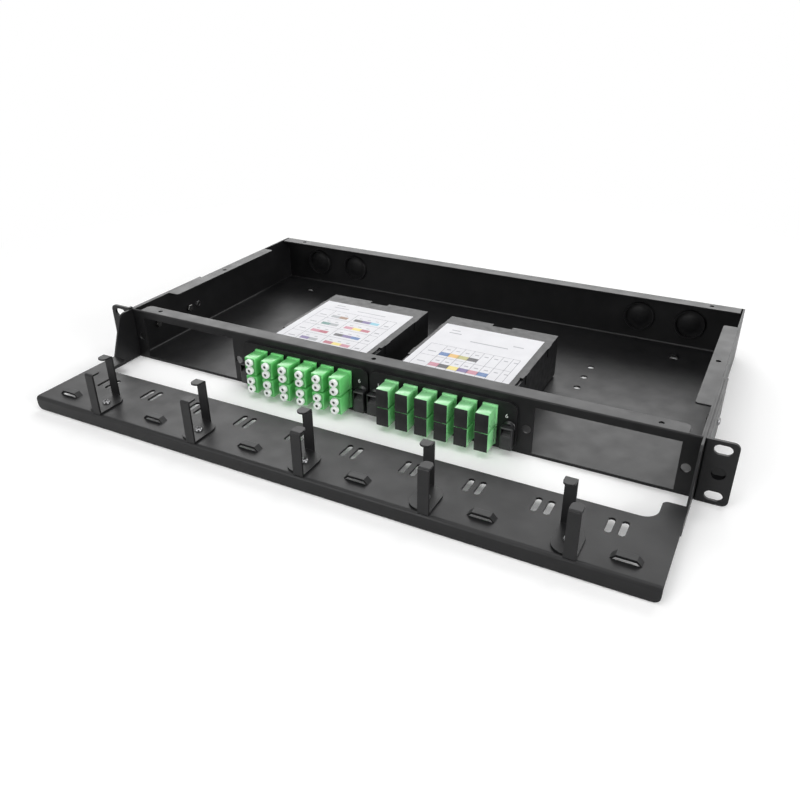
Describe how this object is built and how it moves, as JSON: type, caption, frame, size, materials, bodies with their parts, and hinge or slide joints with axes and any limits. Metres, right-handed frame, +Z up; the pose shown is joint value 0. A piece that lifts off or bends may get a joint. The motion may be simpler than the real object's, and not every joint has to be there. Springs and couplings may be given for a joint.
{
  "type": "fibre patch panel",
  "caption": "Rack-mount fibre patch panel with its cover off: sheet chassis, fibre modules with green adapters, and a front cable tray with clips.",
  "frame": {"origin": "middle of the bottom of the box round the whole panel", "axes": "+Z up, -Y towards the front and the cable tray, +X to the right seen from the front"},
  "size_m": [0.4826, 0.3228, 0.043],
  "materials": {
    "black_powder_coat": "satin powder coat on steel sheet",
    "black_screw": "blackened steel",
    "zinc_nut": "zinc plated",
    "black_faceplate": "satin powder coat on steel sheet",
    "black_cassette": "fine-grained moulded plastic",
    "white_label": "printed label with rows of colour",
    "grey_holder": "moulded plastic",
    "green_adapter": "satin moulded plastic",
    "milky_cap": "translucent moulded plastic",
    "black_cap": "moulded plastic",
    "black_nylon": "moulded plastic",
    "black_plug": "moulded plastic"
  },
  "bodies": {
    "panel": {"cable_clip_1": "black_powder_coat", "cable_clip_2": "black_powder_coat", "cable_clip_3": "black_powder_coat", "cable_clip_4": "black_powder_coat", "cable_clip_5": "black_powder_coat", "cable_tray": "black_powder_coat", "cassette_body_lc": "black_cassette", "cassette_body_sc": "black_cassette", "cassette_label_lc": "white_label", "cassette_label_sc": "white_label", "cassette_lid_lc": "black_cassette", "cassette_lid_sc": "black_cassette", "chassis_base": "black_powder_coat", "clip_screws": "black_screw", "ear_nuts": "zinc_nut", "ear_screws": "black_screw", "lc_adapter_01": "green_adapter", "lc_adapter_02": "green_adapter", "lc_adapter_03": "green_adapter", "lc_adapter_04": "green_adapter", "lc_adapter_05": "green_adapter", "lc_adapter_06": "green_adapter", "lc_adapter_07": "green_adapter", "lc_adapter_08": "green_adapter", "lc_adapter_09": "green_adapter", "lc_adapter_10": "green_adapter", "lc_adapter_11": "green_adapter", "lc_adapter_12": "green_adapter", "lc_dust_caps": "milky_cap", "module_faceplate_lc": "black_faceplate", "module_faceplate_sc": "black_faceplate", "plunger_grommets": "black_nylon", "rack_ear_left": "black_powder_coat", "rack_ear_right": "black_powder_coat", "rear_plugs": "black_plug", "sc_adapter_01": "green_adapter", "sc_adapter_02": "green_adapter", "sc_adapter_03": "green_adapter", "sc_adapter_04": "green_adapter", "sc_adapter_05": "green_adapter", "sc_adapter_06": "green_adapter", "sc_adapter_07": "green_adapter", "sc_adapter_08": "green_adapter", "sc_adapter_09": "green_adapter", "sc_adapter_10": "green_adapter", "sc_adapter_11": "green_adapter", "sc_adapter_12": "green_adapter", "sc_dust_caps": "black_cap", "splice_holder_lc": "grey_holder", "splice_holder_sc": "grey_holder", "tray_bracket_left": "black_powder_coat", "tray_bracket_right": "black_powder_coat"},
    "plunger_1_body": {"plunger_1": "black_nylon"},
    "plunger_2_body": {"plunger_2": "black_nylon"},
    "plunger_3_body": {"plunger_3": "black_nylon"},
    "plunger_4_body": {"plunger_4": "black_nylon"}
  },
  "joints": [
    {"name": "plunger_1_pull", "type": "slide", "parent": "panel", "child": "plunger_1_body", "axis": [0, -1, 0], "range_m": [0, 0.006]},
    {"name": "plunger_2_pull", "type": "slide", "parent": "panel", "child": "plunger_2_body", "axis": [0, -1, 0], "range_m": [0, 0.006]},
    {"name": "plunger_3_pull", "type": "slide", "parent": "panel", "child": "plunger_3_body", "axis": [0, -1, 0], "range_m": [0, 0.006]},
    {"name": "plunger_4_pull", "type": "slide", "parent": "panel", "child": "plunger_4_body", "axis": [0, -1, 0], "range_m": [0, 0.006]}
  ]
}
